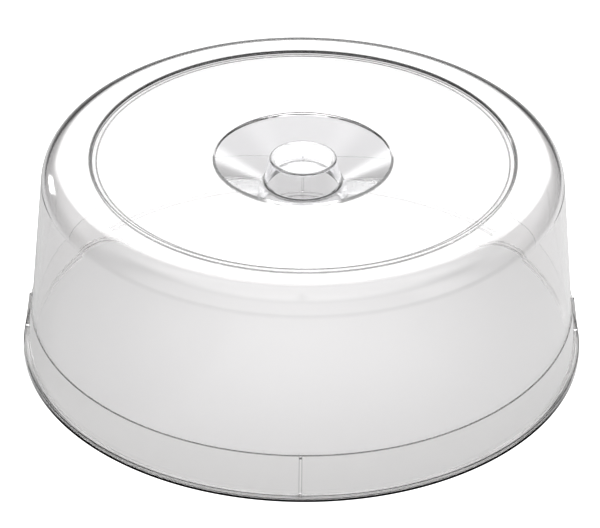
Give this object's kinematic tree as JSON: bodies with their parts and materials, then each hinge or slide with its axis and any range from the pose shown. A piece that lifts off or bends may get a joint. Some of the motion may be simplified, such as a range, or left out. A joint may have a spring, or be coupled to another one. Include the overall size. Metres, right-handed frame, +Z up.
{
  "type": "round clear dome cover",
  "caption": "Round clear plastic dome cover with a flat deck, a recessed conical finger dish around a hollow cup grip, and a flared collar with a thick rim to stand on.",
  "frame": {"origin": "centre of the rim's flat resting face, on the cover's axis", "axes": "+Z up along the cover's axis; the four fins on the collar lie on +X, +Y, -X and -Y"},
  "size_m": [0.3, 0.3, 0.1134],
  "materials": {
    "clear_shell": "polished clear moulded plastic",
    "clear_deck": "polished clear moulded plastic",
    "clear_collar": "polished clear moulded plastic",
    "clear_grip": "polished clear moulded plastic"
  },
  "bodies": {
    "root": {"base_collar": "clear_collar", "dome_shell": "clear_shell", "deck_panel": "clear_deck", "grip_dish": "clear_grip", "grip_cup": "clear_grip"}
  },
  "joints": []
}
